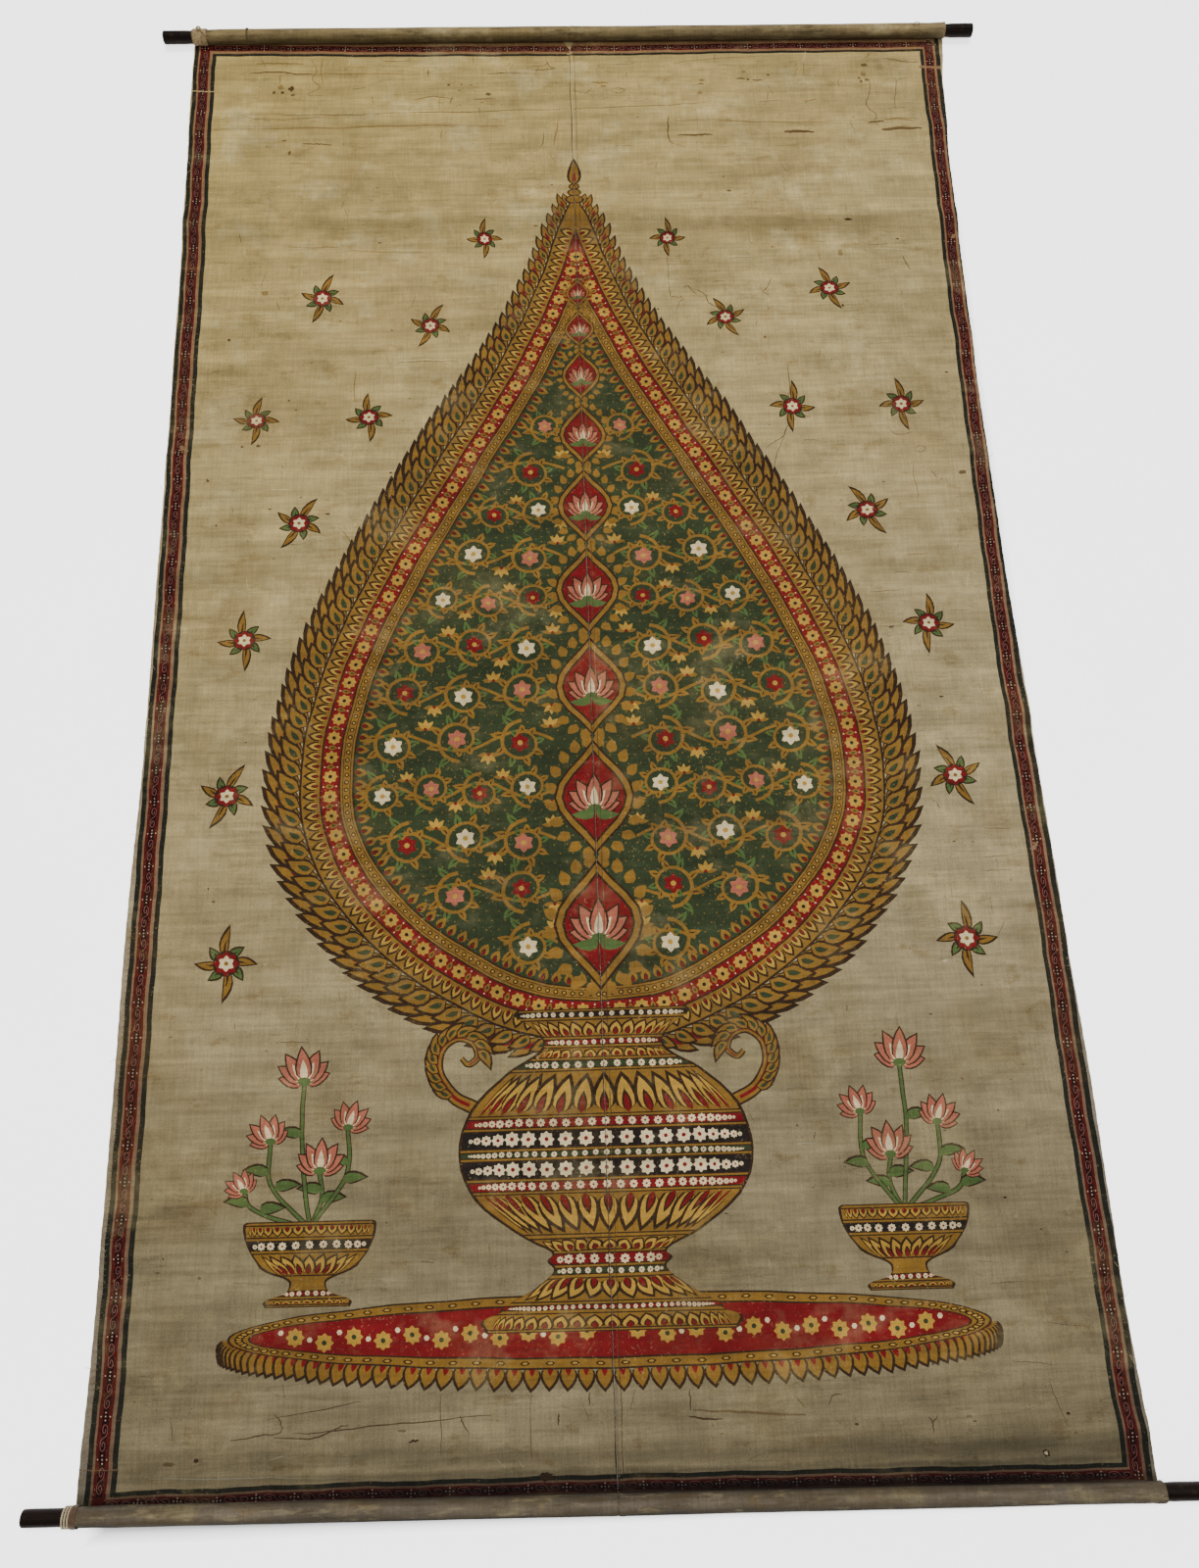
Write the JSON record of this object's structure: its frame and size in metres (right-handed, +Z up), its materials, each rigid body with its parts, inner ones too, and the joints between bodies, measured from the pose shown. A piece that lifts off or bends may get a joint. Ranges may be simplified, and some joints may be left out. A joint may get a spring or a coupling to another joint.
{
  "type": "banner painting with rods",
  "caption": "Painted cloth banner with a centre seam and hemmed sides, lying face up, with a wooden rod wound into its top and bottom ends and small ties.",
  "frame": {"origin": "middle of the whole banner, on the surface that it lies on", "axes": "+X across the cloth to the viewer's right, +Y along the cloth to the top rod, +Z up, out of the painted face"},
  "size_m": [1.7952, 2.9081, 0.039],
  "materials": {
    "painted_cloth": "aged cream cotton with a thin ground, painted in matt distemper colours",
    "dark_wood": "near-black stained hardwood with a low polish",
    "cream_cord": "twisted cream cotton cord",
    "gold_tape": "aged ochre cotton tape",
    "brown_tape": "dark brown cotton tape"
  },
  "bodies": {
    "root": {"left_panel": "painted_cloth", "right_panel": "painted_cloth", "top_rod": "dark_wood", "bottom_rod": "dark_wood", "top_left_tie": "gold_tape", "top_left_thread": "cream_cord", "top_right_loop": "cream_cord", "bottom_left_band": "brown_tape", "bottom_left_cord": "cream_cord"}
  },
  "joints": []
}
